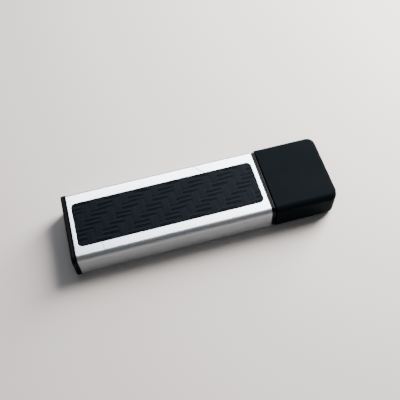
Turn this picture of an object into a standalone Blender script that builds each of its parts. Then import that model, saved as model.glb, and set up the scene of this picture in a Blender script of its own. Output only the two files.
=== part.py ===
"""USB flash drive with a pull-off cap: an aluminium sleeve over a moulded carrier, with a
carbon-look inlay, a tail plug, a collar, a Type A plug on a circuit board, and a lined cap.

Frame: origin under the middle of the drive, on the surface it lies on; +X runs along the drive
towards the plug and the cap, +Z is up. Sizes are millimetres and become metres in placed().
Places along the drive are counted from the sleeve's tail end, which is at TAIL_X in the frame.
"""

import math

import bmesh
import bpy
from mathutils import Matrix, Vector

MM = 0.001

# Overall sizes. The cap and the tail plug stand slightly proud of the sleeve, all round.
SLEEVE_LENGTH = 47.6
SLEEVE_WIDTH = 19.0
SLEEVE_HEIGHT = 7.8
SLEEVE_CORNER = 1.4
PROUD = 0.1
FLANGE_LENGTH = 1.3
FLANGE_ROUND = 0.35
CAP_START = 48.8
CAP_LENGTH = 15.8

# Walls, gaps and the hollow of the sleeve.
SLEEVE_WALL = 0.9
GAP = 0.05
BORE_WIDTH = SLEEVE_WIDTH - 2 * SLEEVE_WALL
BORE_HEIGHT = SLEEVE_HEIGHT - 2 * SLEEVE_WALL
BORE_CORNER = 0.5
INSERT_WIDTH = BORE_WIDTH - 2 * GAP
INSERT_HEIGHT = BORE_HEIGHT - 2 * GAP

# Pocket in the sleeve's top face, and what lies in it.
POCKET_LENGTH = 45.8
POCKET_WIDTH = 12.1
POCKET_CORNER = 1.2
POCKET_START = 0.85
POCKET_DEPTH = 0.55
ADHESIVE_THICKNESS = 0.08
ADHESIVE_EDGE_GAP = 0.4
INLAY_THICKNESS = 0.3
INLAY_EDGE_GAP = 0.1
FILM_GAP = 0.03

# Type A plug.
PLUG_WIDTH = 12.0
PLUG_HEIGHT = 4.5
PLUG_WALL = 0.3
PLUG_CORNER = 0.5
PLUG_START = 44.8
PLUG_TIP = 62.7
WINDOW_WIDTH = 2.5
WINDOW_LENGTH = 2.0
WINDOW_FROM_TIP = 5.2
WINDOW_OFFSET = 2.25
TONGUE_THICKNESS = 1.85
TONGUE_SHORT_OF_TIP = 0.3
TONGUE_BLOCK_END = 51.4
CONTACT_WIDTH = 1.0
CONTACT_THICKNESS = 0.25
CONTACT_PROUD = 0.06
CONTACT_START = 42.3
CONTACTS = {  # name: (place across the plug, distance of its end from the plug's tip)
    "contact_vbus": (-3.5, 1.2),
    "contact_d_minus": (-1.0, 2.2),
    "contact_d_plus": (1.0, 2.2),
    "contact_ground": (3.5, 1.2),
}

# Collar between the sleeve and the cap.
COLLAR_REAR = 44.9
NECK_START = 47.63
NECK_INSET = 0.4
LAND_START = 48.25
LAND_END = 48.55
LAND_INSET = 0.15
SPIGOT_END = 50.65
SPIGOT_WIDTH = 16.6
SPIGOT_HEIGHT = 5.6

# Cap and its liner.
CAP_WALL = 1.2
CAP_PLAN_CORNER = 2.0
CAP_END_ROUND = 0.65
CAP_BORE_WIDTH = SPIGOT_WIDTH + 0.2
CAP_BORE_HEIGHT = SPIGOT_HEIGHT + 0.2
LINER_START = 52.8
LINER_CLEARANCE = 0.15

# Carrier trays and circuit board.
TRAY_START = 2.8
TRAY_END = 44.7
TRAY_WALL = 0.8
SEAM = (-0.02, 0.04)
SKIRT_END = 2.6
SKIRT_WALL = 1.0
BOARD_START = 6.4
BOARD_END = 44.6
BOARD_WIDTH = 14.4
BOARD_THICKNESS = 0.8
LEDGE_WIDTH = 13.0
STANDOFF = 0.1
SOLDER_GAP = 0.04
CRYSTAL_START = 32.3
CRYSTAL_SIZE = (5.0, 3.2, 0.8)

# Heights, counted from the surface that the drive lies on.
MIDDLE_Z = PROUD + SLEEVE_HEIGHT / 2
SLEEVE_TOP_Z = PROUD + SLEEVE_HEIGHT
TONGUE_BOTTOM_Z = MIDDLE_Z - PLUG_HEIGHT / 2 + PLUG_WALL + GAP
TONGUE_TOP_Z = TONGUE_BOTTOM_Z + TONGUE_THICKNESS
CONTACT_BOTTOM_Z = TONGUE_TOP_Z + CONTACT_PROUD - CONTACT_THICKNESS
BOARD_TOP_Z = CONTACT_BOTTOM_Z - SOLDER_GAP
BOARD_BOTTOM_Z = BOARD_TOP_Z - BOARD_THICKNESS

TOTAL_LENGTH = FLANGE_LENGTH + CAP_START + CAP_LENGTH
TAIL_X = FLANGE_LENGTH - TOTAL_LENGTH / 2
ARC_STEPS = 4
CUT_THROUGH = 1.0

# Linear base colour, metallic, roughness.
FINISHES = {
    "bead_blasted_aluminium": ((0.78, 0.79, 0.81), 1.0, 0.42),
    "soft_touch_black": ((0.012, 0.013, 0.015), 0.0, 0.62),
    "satin_black": ((0.016, 0.017, 0.019), 0.0, 0.38),
    "carbon_look_film": ((0.02, 0.023, 0.028), 0.0, 0.35),
    "adhesive_film": ((0.75, 0.72, 0.62), 0.0, 0.6),
    "carrier_grey": ((0.18, 0.18, 0.19), 0.0, 0.55),
    "natural_nylon": ((0.62, 0.6, 0.55), 0.0, 0.5),
    "nickel_plated_steel": ((0.62, 0.61, 0.58), 1.0, 0.25),
    "gold_plate": ((0.9, 0.62, 0.22), 1.0, 0.2),
    "board_green": ((0.02, 0.13, 0.05), 0.0, 0.4),
    "epoxy_black": ((0.02, 0.02, 0.022), 0.0, 0.5),
    "crystal_can": ((0.7, 0.7, 0.68), 1.0, 0.3),
    "ceramic_tan": ((0.42, 0.3, 0.17), 0.0, 0.5),
    "resistor_black": ((0.03, 0.03, 0.035), 0.0, 0.35),
}


def clear_scene():
    for obj in list(bpy.data.objects):
        bpy.data.objects.remove(obj, do_unlink=True)


def finish_material(name, finish):
    color, metallic, roughness = FINISHES[finish]
    material = bpy.data.materials.new(name)
    material.use_nodes = True
    shader = material.node_tree.nodes["Principled BSDF"]
    shader.inputs["Base Color"].default_value = (*color, 1.0)
    shader.inputs["Metallic"].default_value = metallic
    shader.inputs["Roughness"].default_value = roughness
    return material


def placed(name, bm, location, finish=None):
    """The bmesh as an object at that place. Without a finish it is a cutter or a joining piece."""
    bmesh.ops.recalc_face_normals(bm, faces=bm.faces)
    bmesh.ops.scale(bm, vec=(MM, MM, MM), verts=bm.verts)
    mesh = bpy.data.meshes.new(name)
    bm.to_mesh(mesh)
    bm.free()
    obj = bpy.data.objects.new(name, mesh)
    obj.location = Vector(location) * MM
    bpy.context.scene.collection.objects.link(obj)
    if finish:
        mesh.materials.append(finish_material(name, finish))
        mesh.shade_smooth()
        mesh.set_sharp_from_angle(angle=math.radians(28))
    else:
        obj.hide_render = True
        obj.display_type = "WIRE"
    return obj


def combine(obj, other, operation):
    modifier = obj.modifiers.new(other.name, "BOOLEAN")
    modifier.operation = operation
    modifier.solver = "EXACT"
    modifier.object = other


def cut(obj, cutter):
    combine(obj, cutter, "DIFFERENCE")


def join(obj, other):
    combine(obj, other, "UNION")


def rounded_outline(width, height, corner):
    """Points of a rounded rectangle about its centre, anticlockwise from the lower right."""
    points = []
    for quarter, (side, end) in enumerate(((1, -1), (1, 1), (-1, 1), (-1, -1))):
        x, y = side * (width / 2 - corner), end * (height / 2 - corner)
        for step in range(ARC_STEPS + 1):
            angle = math.radians(90 * (quarter - 1) + 90 * step / ARC_STEPS)
            points.append((x + corner * math.cos(angle), y + corner * math.sin(angle)))
    return points


def section(bm, along, width, height, corner):
    """A rounded rectangle across the drive's long axis, as a ring of vertices."""
    outline = rounded_outline(width, height, corner)
    return [bm.verts.new((along, y, z)) for y, z in outline]


def lofted(name, stations, finish=None, tube=False):
    """Sections along the drive's axis, joined one to the next.

    A tube's last section joins its first. Any other shape is closed at both ends.
    """
    bm = bmesh.new()
    rings = [section(bm, *station) for station in stations]
    if tube:
        rings.append(rings[0])
    for first, second in zip(rings, rings[1:]):
        for i in range(len(first)):
            bm.faces.new((first[i - 1], first[i], second[i], second[i - 1]))
    if not tube:
        bm.faces.new(rings[0])
        bm.faces.new(rings[-1])
    return placed(name, bm, (TAIL_X, 0, MIDDLE_Z), finish)


def extruded(bm, outline, direction):
    """A prism: the outline's face, pushed along the direction."""
    face = bm.faces.new([bm.verts.new(point) for point in outline])
    grown = bmesh.ops.extrude_face_region(bm, geom=[face])["geom"]
    far = [part for part in grown if isinstance(part, bmesh.types.BMVert)]
    bmesh.ops.translate(bm, vec=direction, verts=far)


def block(name, along, across, up, finish=None):
    """A box between two places along the drive, across it and up from the surface."""
    bm = bmesh.new()
    bmesh.ops.create_cube(bm, size=1.0)
    spans = (along, across, up)
    bmesh.ops.scale(bm, vec=[high - low for low, high in spans], verts=bm.verts)
    x, y, z = [(high + low) / 2 for low, high in spans]
    return placed(name, bm, (x + TAIL_X, y, z), finish)


def slab(name, start, length, width, corner, bottom_z, thickness, finish=None):
    """A flat plate with rounded corners seen from above."""
    bm = bmesh.new()
    extruded(bm, [(x, y, 0) for x, y in rounded_outline(length, width, corner)], (0, 0, thickness))
    return placed(name, bm, (start + length / 2 + TAIL_X, 0, bottom_z), finish)


def make_sleeve():
    outer = (SLEEVE_WIDTH, SLEEVE_HEIGHT, SLEEVE_CORNER)
    bore = (BORE_WIDTH, BORE_HEIGHT, BORE_CORNER)
    stations = [(0, *outer), (SLEEVE_LENGTH, *outer), (SLEEVE_LENGTH, *bore), (0, *bore)]
    sleeve = lofted("sleeve", stations, "bead_blasted_aluminium", tube=True)
    floor_z = SLEEVE_TOP_Z - POCKET_DEPTH
    plan = (POCKET_START, POCKET_LENGTH, POCKET_WIDTH, POCKET_CORNER)
    cut(sleeve, slab("pocket_cutter", *plan, floor_z, POCKET_DEPTH + CUT_THROUGH))


def make_inlay():
    """The adhesive film on the pocket's floor and the carbon-look plate on it."""
    adhesive_z = SLEEVE_TOP_Z - POCKET_DEPTH + FILM_GAP
    inlay_z = adhesive_z + ADHESIVE_THICKNESS + FILM_GAP
    for name, edge, z, thickness, finish in (
        ("inlay_adhesive", ADHESIVE_EDGE_GAP, adhesive_z, ADHESIVE_THICKNESS, "adhesive_film"),
        ("inlay", INLAY_EDGE_GAP, inlay_z, INLAY_THICKNESS, "carbon_look_film"),
    ):
        length, width = POCKET_LENGTH - 2 * edge, POCKET_WIDTH - 2 * edge
        slab(name, POCKET_START + edge, length, width, POCKET_CORNER - edge, z, thickness, finish)


def make_tail_plug():
    """A flange over the sleeve's tail end, and a hollow skirt inside the sleeve."""
    width, height = SLEEVE_WIDTH + 2 * PROUD, SLEEVE_HEIGHT + 2 * PROUD
    corner, soft = SLEEVE_CORNER + PROUD, FLANGE_ROUND
    skirt = (INSERT_WIDTH, INSERT_HEIGHT, BORE_CORNER)
    hollow = (INSERT_WIDTH - 2 * SKIRT_WALL, INSERT_HEIGHT - 2 * SKIRT_WALL, BORE_CORNER)
    stations = [(-FLANGE_LENGTH, width - 2 * soft, height - 2 * soft, corner - soft)]
    for step in range(1, 4):
        angle = math.radians(30 * step)
        inset = soft * (1 - math.sin(angle))
        along = -FLANGE_LENGTH + soft * (1 - math.cos(angle))
        stations.append((along, width - 2 * inset, height - 2 * inset, corner - inset))
    stations += [(-GAP, width, height, corner), (-GAP, *skirt), (SKIRT_END, *skirt)]
    stations += [(SKIRT_END, *hollow), (GAP, *hollow)]
    lofted("tail_plug", stations, "satin_black")


def make_collar():
    """A neck, a land that shows between sleeve and cap, and a spigot for the cap, round the plug."""
    insert = (INSERT_WIDTH, INSERT_HEIGHT, BORE_CORNER)
    neck, land = [
        (SLEEVE_WIDTH - 2 * inset, SLEEVE_HEIGHT - 2 * inset, SLEEVE_CORNER - inset / 2)
        for inset in (NECK_INSET, LAND_INSET)
    ]
    spigot = (SPIGOT_WIDTH, SPIGOT_HEIGHT, BORE_CORNER)
    opening = (PLUG_WIDTH + 2 * GAP, PLUG_HEIGHT + 2 * GAP, PLUG_CORNER + GAP)
    stations = [(COLLAR_REAR, *insert), (NECK_START, *insert), (NECK_START, *neck)]
    stations += [(LAND_START, *neck), (LAND_START, *land), (LAND_END, *land)]
    stations += [(LAND_END, *spigot), (SPIGOT_END, *spigot)]
    stations += [(SPIGOT_END, *opening), (COLLAR_REAR, *opening)]
    lofted("collar", stations, "satin_black", tube=True)


def make_trays():
    """Lower and upper halves of the carrier, open towards the plug."""
    seam = [MIDDLE_Z + height for height in SEAM]
    half_bore = INSERT_HEIGHT / 2
    floor_z = MIDDLE_Z - half_bore + TRAY_WALL
    roof_z = MIDDLE_Z + half_bore - TRAY_WALL
    ledge_z = BOARD_BOTTOM_Z - SOLDER_GAP
    outer = (INSERT_WIDTH, INSERT_HEIGHT, BORE_CORNER)
    stations = [(TRAY_START, *outer), (TRAY_END, *outer)]
    lower = lofted("carrier_lower", stations, "carrier_grey")
    upper = lofted("carrier_upper", stations, "carrier_grey")
    for tray, name, start, width, low, high in (
        (lower, "above_seam_cutter", 0, SLEEVE_WIDTH, seam[0], SLEEVE_TOP_Z),
        (lower, "board_cutter", BOARD_START - 0.1, BOARD_WIDTH + 0.2, ledge_z, SLEEVE_TOP_Z),
        (lower, "underside_cutter", BOARD_START + 1, LEDGE_WIDTH, floor_z, SLEEVE_TOP_Z),
        (upper, "below_seam_cutter", 0, SLEEVE_WIDTH, 0, seam[1]),
        (upper, "roof_cutter", BOARD_START, BOARD_WIDTH - 0.4, 0, roof_z),
    ):
        along = (start, TRAY_END + CUT_THROUGH)
        cut(tray, block(name, along, (-width / 2, width / 2), (low, high)))


def make_board():
    across = (-BOARD_WIDTH / 2, BOARD_WIDTH / 2)
    up = (BOARD_BOTTOM_Z, BOARD_TOP_Z)
    block("circuit_board", (BOARD_START, BOARD_END), across, up, "board_green")


def leads(name, centre, body_length, reach, count, turned):
    """Gull-wing leads on two opposite sides of a chip, as one mesh that joins the chip's body."""
    pitch, lead_width, thickness, foot = 0.5, 0.2, 0.15, 0.5
    foot_z, body_z = BOARD_TOP_Z + SOLDER_GAP, BOARD_TOP_Z + STANDOFF + 0.45
    inner, outer, bend = body_length / 2 - 0.25, reach / 2, reach / 2 - foot
    profile = [
        (inner, body_z),
        (bend - thickness, body_z),
        (bend - thickness, foot_z),
        (outer, foot_z),
        (outer, foot_z + thickness),
        (bend, foot_z + thickness),
        (bend, body_z + thickness),
        (inner, body_z + thickness),
    ]
    bm = bmesh.new()
    for side in (1, -1):
        for index in range(count):
            place = (index - (count - 1) / 2) * pitch - lead_width / 2
            extruded(bm, [(side * x, place, z) for x, z in profile], (0, lead_width, 0))
    if turned:
        bmesh.ops.rotate(bm, verts=bm.verts, matrix=Matrix.Rotation(math.pi / 2, 3, "Z"))
    return placed(name, bm, (centre + TAIL_X, 0, 0))


def make_chips():
    """The memory chip, with leads at its two ends, and the controller, with leads all round."""
    for name, centre, length, width, height, reach, count, rows in (
        ("flash_chip", 19.6, 18.4, 12.0, 1.0, 20.0, 24, (False,)),
        ("controller_chip", 34.8, 7.0, 7.0, 1.4, 9.0, 12, (False, True)),
    ):
        bottom = BOARD_TOP_Z + STANDOFF
        along = (centre - length / 2, centre + length / 2)
        chip = block(name, along, (-width / 2, width / 2), (bottom, bottom + height), "epoxy_black")
        for turned in rows:
            suffix = "side_leads" if turned else "end_leads"
            join(chip, leads(f"{name}_{suffix}", centre, length, reach, count, turned))


def make_small_parts():
    """The crystal under the board, and chip capacitors and resistors on top of it."""
    top = BOARD_TOP_Z + SOLDER_GAP
    crystal_length, crystal_width, crystal_height = CRYSTAL_SIZE
    crystal_along = (CRYSTAL_START, CRYSTAL_START + crystal_length)
    crystal_z = (BOARD_BOTTOM_Z - SOLDER_GAP - crystal_height, BOARD_BOTTOM_Z - SOLDER_GAP)
    block("crystal", crystal_along, (-crystal_width / 2, crystal_width / 2), crystal_z, "crystal_can")
    long_side, short_side = 1.6, 0.8
    capacitors = [(along, side * 6.1) for along in (31.5, 34.8, 38.1) for side in (-1, 1)]
    resistors = [(40.7, -1.0), (40.7, 1.0), (8.0, -3.0), (8.0, 3.0)]
    for kind, places, height, finish in (
        ("capacitor", capacitors, 0.8, "ceramic_tan"),
        ("resistor", resistors, 0.45, "resistor_black"),
    ):
        for number, (along, across) in enumerate(places, start=1):
            length = (along - long_side / 2, along + long_side / 2)
            width = (across - short_side / 2, across + short_side / 2)
            block(f"{kind}_{number}", length, width, (top, top + height), finish)


def make_plug():
    """The plug's steel shell, its insulator and the four contacts."""
    outer = (PLUG_WIDTH, PLUG_HEIGHT, PLUG_CORNER)
    inner = (PLUG_WIDTH - 2 * PLUG_WALL, PLUG_HEIGHT - 2 * PLUG_WALL, PLUG_CORNER - PLUG_WALL)
    stations = [(PLUG_START, *outer), (PLUG_TIP, *outer), (PLUG_TIP, *inner), (PLUG_START, *inner)]
    shell = lofted("plug_shell", stations, "nickel_plated_steel", tube=True)
    window = (PLUG_TIP - WINDOW_FROM_TIP - WINDOW_LENGTH, PLUG_TIP - WINDOW_FROM_TIP)
    through = (MIDDLE_Z - PLUG_HEIGHT, MIDDLE_Z + PLUG_HEIGHT)
    for number, side in enumerate((-1, 1), start=1):
        middle = side * WINDOW_OFFSET
        across = (middle - WINDOW_WIDTH / 2, middle + WINDOW_WIDTH / 2)
        cut(shell, block(f"window_cutter_{number}", window, across, through))

    half_width = PLUG_WIDTH / 2 - PLUG_WALL - GAP
    rear, front = PLUG_START + GAP, PLUG_TIP - TONGUE_SHORT_OF_TIP
    block_top = MIDDLE_Z + PLUG_HEIGHT / 2 - PLUG_WALL - GAP
    profile = [
        (rear, TONGUE_BOTTOM_Z),
        (front, TONGUE_BOTTOM_Z),
        (front, TONGUE_TOP_Z),
        (TONGUE_BLOCK_END, TONGUE_TOP_Z),
        (TONGUE_BLOCK_END, block_top),
        (rear, block_top),
    ]
    bm = bmesh.new()
    extruded(bm, [(along, -half_width, z) for along, z in profile], (0, 2 * half_width, 0))
    tongue = placed("plug_tongue", bm, (TAIL_X, 0, 0), "natural_nylon")
    slack = 0.04
    for name, (place, short_of_tip) in CONTACTS.items():
        low, high = place - CONTACT_WIDTH / 2, place + CONTACT_WIDTH / 2
        top = CONTACT_BOTTOM_Z + CONTACT_THICKNESS
        groove = (CONTACT_BOTTOM_Z - slack, top + slack)
        groove_along = (PLUG_START - CUT_THROUGH, PLUG_TIP - short_of_tip + slack)
        groove_across = (low - slack, high + slack)
        cut(tongue, block(f"{name}_groove", groove_along, groove_across, groove))
        length = (CONTACT_START, PLUG_TIP - short_of_tip)
        block(name, length, (low, high), (CONTACT_BOTTOM_Z, top), "gold_plate")


def make_cap():
    """The cap, its end corners rounder seen from above, and the liner in it that grips the plug."""
    width, height = SLEEVE_WIDTH + 2 * PROUD, SLEEVE_HEIGHT + 2 * PROUD
    end = CAP_START + CAP_LENGTH
    corner = SLEEVE_CORNER + PROUD
    stations = [(CAP_START, width, height, corner)]
    steps = 6
    for step in range(steps + 1):
        angle = math.radians(90 * step / steps)
        from_end = CAP_PLAN_CORNER * (1 - math.sin(angle))
        side_inset = CAP_PLAN_CORNER * (1 - math.cos(angle))
        into_round = max(0.0, CAP_END_ROUND - from_end)
        top_inset = CAP_END_ROUND - math.sqrt(CAP_END_ROUND**2 - into_round**2)
        shrunk = corner - top_inset
        stations.append((end - from_end, width - 2 * side_inset, height - 2 * top_inset, shrunk))
    bore = (CAP_BORE_WIDTH, CAP_BORE_HEIGHT, BORE_CORNER + 0.1)
    bore_end = end - CAP_WALL
    cap = lofted("cap_shell", [(bore_end, *bore), (CAP_START, *bore), *stations], "soft_touch_black")

    outer = (CAP_BORE_WIDTH - 2 * GAP, CAP_BORE_HEIGHT - 2 * GAP, BORE_CORNER)
    inner_width = PLUG_WIDTH + 2 * LINER_CLEARANCE
    inner_height = PLUG_HEIGHT + 2 * LINER_CLEARANCE
    inner = (inner_width, inner_height, PLUG_CORNER)
    liner_end = bore_end - GAP
    stations = [(LINER_START, *outer), (liner_end, *outer), (liner_end, *inner), (LINER_START, *inner)]
    liner = lofted("cap_liner", stations, "carrier_grey", tube=True)
    liner.parent = cap
    liner.location = (0, 0, 0)


clear_scene()
make_sleeve()
make_inlay()
make_tail_plug()
make_collar()
make_trays()
make_board()
make_chips()
make_small_parts()
make_plug()
make_cap()
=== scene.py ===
import math
import bmesh
import bpy
from mathutils import Matrix, Vector


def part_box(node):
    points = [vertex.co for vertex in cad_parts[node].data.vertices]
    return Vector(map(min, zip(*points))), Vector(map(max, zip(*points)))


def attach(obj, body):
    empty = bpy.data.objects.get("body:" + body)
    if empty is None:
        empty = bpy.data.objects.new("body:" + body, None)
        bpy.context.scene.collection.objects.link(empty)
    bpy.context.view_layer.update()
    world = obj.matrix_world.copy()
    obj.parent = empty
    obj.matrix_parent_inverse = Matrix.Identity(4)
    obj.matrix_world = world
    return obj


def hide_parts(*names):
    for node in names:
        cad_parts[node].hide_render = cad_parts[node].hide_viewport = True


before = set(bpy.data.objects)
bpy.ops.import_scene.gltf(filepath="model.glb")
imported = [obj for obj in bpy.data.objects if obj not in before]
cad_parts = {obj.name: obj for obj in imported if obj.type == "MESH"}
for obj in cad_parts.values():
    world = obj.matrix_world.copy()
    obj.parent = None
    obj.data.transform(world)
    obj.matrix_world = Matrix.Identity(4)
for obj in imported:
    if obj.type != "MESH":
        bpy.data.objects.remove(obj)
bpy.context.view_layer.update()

mm = 0.001
alongX, alongY, alongZ = 0, 1, 2


# small helpers: meshes are made in millimetres, at the places that the frame gives

def nodeBox(name):  # lowest and highest corner of a node, in millimetres
    low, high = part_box(name)
    return Vector(low) / mm, Vector(high) / mm


def edgesAlong(bm, axis):
    edges = []
    for edge in bm.edges:
        direction = (edge.verts[1].co - edge.verts[0].co).normalized()
        if abs(direction[axis]) > 0.999:
            edges.append(edge)
    return edges


def roundedBox(low, high, axis, radius, segments=10):  # a box whose four edges along one axis are round
    bm = bmesh.new()
    bmesh.ops.create_cube(bm, size=1)
    bmesh.ops.scale(bm, vec=[b - a for a, b in zip(low, high)], verts=bm.verts)
    bmesh.ops.translate(bm, vec=[(a + b) / 2 for a, b in zip(low, high)], verts=bm.verts)
    bmesh.ops.bevel(bm, geom=edgesAlong(bm, axis), offset=radius, segments=segments, profile=0.5,
                    affect="EDGES", material=-1)
    return bm


def grown(low, high, by):  # a box with each side moved outwards
    return Vector(low) - Vector(by), Vector(high) + Vector(by)


def looseObject(name, bm):
    mesh = bpy.data.meshes.new(name)
    bm.to_mesh(mesh)
    bm.free()
    obj = bpy.data.objects.new(name, mesh)
    bpy.context.scene.collection.objects.link(obj)
    return obj


def settled(obj):  # the object's mesh with its modifiers in it, as a bmesh; the object goes
    bpy.context.view_layer.update()
    shape = obj.evaluated_get(bpy.context.evaluated_depsgraph_get())
    bm = bmesh.new()
    bm.from_mesh(shape.to_mesh())
    shape.to_mesh_clear()
    bpy.data.objects.remove(obj, do_unlink=True)
    return bm


# a shape with other shapes cut out of it, joined to it or kept in common
def combined(bm, others, operation):
    target = looseObject("combined", bm)
    helpers = [looseObject("helper", other) for other in others]
    for helper in helpers:
        modifier = target.modifiers.new("combine", "BOOLEAN")
        modifier.operation = operation
        modifier.solver = "EXACT"
        modifier.object = helper
    result = settled(target)
    for helper in helpers:
        bpy.data.objects.remove(helper, do_unlink=True)
    return result


def softened(bm, width, segments=2, angle=35):  # every sharp edge gets a small round
    obj = looseObject("softened", bm)
    modifier = obj.modifiers.new("edges", "BEVEL")
    modifier.width = width
    modifier.segments = segments
    modifier.limit_method = "ANGLE"
    modifier.angle_limit = math.radians(angle)
    return settled(obj)


def addPiece(name, bm, material, body, replaced=(), smooth=40):
    bmesh.ops.scale(bm, vec=(mm, mm, mm), verts=bm.verts)
    piece = looseObject(name, bm)
    piece.data.materials.append(material)
    piece.data.shade_smooth()
    piece.data.set_sharp_from_angle(angle=math.radians(smooth))
    evenShading = piece.modifiers.new("evenShading", "WEIGHTED_NORMAL")
    evenShading.keep_sharp = True
    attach(piece, body)
    if replaced:
        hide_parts(*replaced)
    return piece


# material helpers

def linear(hexColor, alpha=1.0):  # an sRGB hex colour as the linear values that a shader takes
    parts = [int(hexColor[i:i + 2], 16) / 255 for i in (1, 3, 5)]
    return (*[c / 12.92 if c <= 0.04045 else ((c + 0.055) / 1.055) ** 2.4 for c in parts], alpha)


def addNode(tree, kind, inputs=None, **settings):  # an input takes a value or another node's output
    node = tree.nodes.new("ShaderNode" + kind)
    for name, value in settings.items():
        setattr(node, name, value)
    for key, value in (inputs or {}).items():
        if isinstance(value, bpy.types.NodeSocket):
            tree.links.new(value, node.inputs[key])
        else:
            node.inputs[key].default_value = value
    return node


def newMaterial(name, color, roughness, metallic=0.0, ior=None, gloss=None):
    material = bpy.data.materials.new(name)
    material.use_nodes = True
    tree = material.node_tree
    shader = tree.nodes["Principled BSDF"]
    shader.inputs["Base Color"].default_value = linear(color)
    shader.inputs["Roughness"].default_value = roughness
    shader.inputs["Metallic"].default_value = metallic
    if ior:
        shader.inputs["IOR"].default_value = ior
    if gloss is not None:
        shader.inputs["Specular IOR Level"].default_value = gloss
    place = addNode(tree, "TexCoord").outputs["Object"]
    return material, tree, shader, place


def perMetre(sizeInMm):  # a texture scale that gives one cell for each such length
    return 1 / (sizeInMm * mm)


# bead-blasted aluminium, clear anodised: fine even grain, broad soft highlights, a few hairline scratches

aluminiumLook = {
    "color": "#D9DEE4", "worn": "#CBD0D6", "sides": "#A8ACB0", "scratched": "#3E4246",
    "roughness": 0.25, "roughnessSpread": 0.05, "sideRoughness": 0.25,
    "grain": 0.16,  # mm; real bead-blast grain is about 0.05 mm, drawn coarser so that it shows
    "cloud": 9.0,
    "scratches": (  # both ends in mm in the frame, and how strong each is
        ((1.0, 8.4, 7.9), (3.0, 6.2, 7.9), 1.0), ((-25.05, -6.3, 7.9), (-24.95, -8.0, 7.9), 0.6),
        ((-9.9, -8.3, 7.9), (-8.2, -8.4, 7.9), 1.0), ((8.8, -9.5, 6.0), (10.0, -9.5, 5.6), 0.5)),
    "scratchWidth": 0.2,
}


# the sides are painted darker than the top face, a painted shade in place of what a room would reflect in
# them; they are also rougher
def beadBlastedAluminium(top):
    look = aluminiumLook
    material, tree, shader, place = newMaterial("beadBlastedAluminium", look["color"], look["roughness"], 1.0)
    cloud = addNode(tree, "TexNoise", {"Vector": place, "Scale": perMetre(look["cloud"]), "Detail": 3.0})
    grain = addNode(tree, "TexNoise", {"Vector": place, "Scale": perMetre(look["grain"]), "Detail": 2.0})
    marks = None
    for start, end, strength in look["scratches"]:  # how near the surface is to each scratch's line
        start, end = Vector(start) * mm, Vector(end) * mm
        length = (end - start).length
        heading = (end - start) / length
        away = addNode(tree, "VectorMath", {0: place, 1: start}, operation="SUBTRACT")
        along = addNode(tree, "VectorMath", {0: away.outputs[0], 1: heading}, operation="DOT_PRODUCT")
        held = addNode(tree, "Clamp", {"Value": along.outputs["Value"], "Max": length})
        foot = addNode(tree, "VectorMath", {0: heading, "Scale": held.outputs[0]}, operation="SCALE")
        gap = addNode(tree, "VectorMath", {0: away.outputs[0], 1: foot.outputs[0]}, operation="DISTANCE")
        mark = addNode(tree, "MapRange", {"Value": gap.outputs["Value"], "From Min": 0.0,
                                          "From Max": look["scratchWidth"] * mm,
                                          "To Min": strength, "To Max": 0.0})
        marks = mark.outputs[0] if marks is None else addNode(
            tree, "Math", {0: marks, 1: mark.outputs[0]}, operation="MAXIMUM").outputs[0]
    wear = addNode(tree, "MapRange", {"Value": cloud.outputs["Fac"], "From Min": 0.35, "From Max": 0.75})
    worn = addNode(tree, "Mix", {0: wear.outputs[0], 6: linear(look["color"]), 7: linear(look["worn"])},
                   data_type="RGBA")
    split = addNode(tree, "SeparateXYZ", {"Vector": place})
    # painted shade: from just below the top face the colour turns to the darker colour of the sides
    side = addNode(tree, "MapRange", {"Value": split.outputs["Z"], "From Min": (top - 0.1) * mm,
                                      "From Max": (top - 0.7) * mm})
    sidesShaded = addNode(tree, "Mix", {0: side.outputs[0], 6: worn.outputs[2], 7: linear(look["sides"])},
                      data_type="RGBA")
    color = addNode(tree, "Mix", {0: marks, 6: sidesShaded.outputs[2], 7: linear(look["scratched"])},
                    data_type="RGBA")
    coarse = addNode(tree, "Math", {0: side.outputs[0], 1: look["sideRoughness"] / look["roughnessSpread"],
                                    2: wear.outputs[0]}, operation="MULTIPLY_ADD")
    dull = addNode(tree, "Math", {0: coarse.outputs[0], 1: marks}, operation="ADD")
    rough = addNode(tree, "MapRange", {"Value": dull.outputs[0], "To Min": look["roughness"],
                                       "To Max": look["roughness"] + look["roughnessSpread"]}, clamp=False)
    depth = addNode(tree, "Math", {0: grain.outputs["Fac"], 1: marks}, operation="SUBTRACT")
    bump = addNode(tree, "Bump", {"Height": depth.outputs[0], "Strength": 0.25, "Distance": 0.01 * mm})
    tree.links.new(color.outputs[2], shader.inputs["Base Color"])
    tree.links.new(rough.outputs[0], shader.inputs["Roughness"])
    tree.links.new(bump.outputs[0], shader.inputs["Normal"])
    return material


# sleeve: a drawn flat tube with a pocket for the inlay

sleeveShape = {"corner": 1.4, "wall": 0.9, "boreCorner": 0.5, "pocketCorner": 1.2, "pocketGap": 0.1,
               "pocketFloorGap": 0.03, "edge": 0.07}


def makeSleeve():
    shape = sleeveShape
    low, high = nodeBox("sleeve")
    inlayLow, inlayHigh = nodeBox("inlay")
    adhesiveLow = nodeBox("inlay_adhesive")[0]
    tube = roundedBox(low, high, alongX, shape["corner"], 12)
    boreLow, boreHigh = grown(low, high, (1, -shape["wall"], -shape["wall"]))
    bore = roundedBox(boreLow, boreHigh, alongX, shape["boreCorner"], 6)
    pocketLow, pocketHigh = grown(inlayLow, inlayHigh, (shape["pocketGap"], shape["pocketGap"], 1))
    pocketLow.z = adhesiveLow.z - shape["pocketFloorGap"]
    pocket = roundedBox(pocketLow, pocketHigh, alongZ, shape["pocketCorner"], 12)
    tube = combined(tube, [bore, pocket], "DIFFERENCE")
    tube = softened(tube, shape["edge"], 3)
    addPiece("sleeveTube", tube, beadBlastedAluminium(high.z), "drive", ["sleeve"])
    print("sleeve done")


# carbon twill under clear film: two by two weave, dark where the fibres run lengthways

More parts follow.
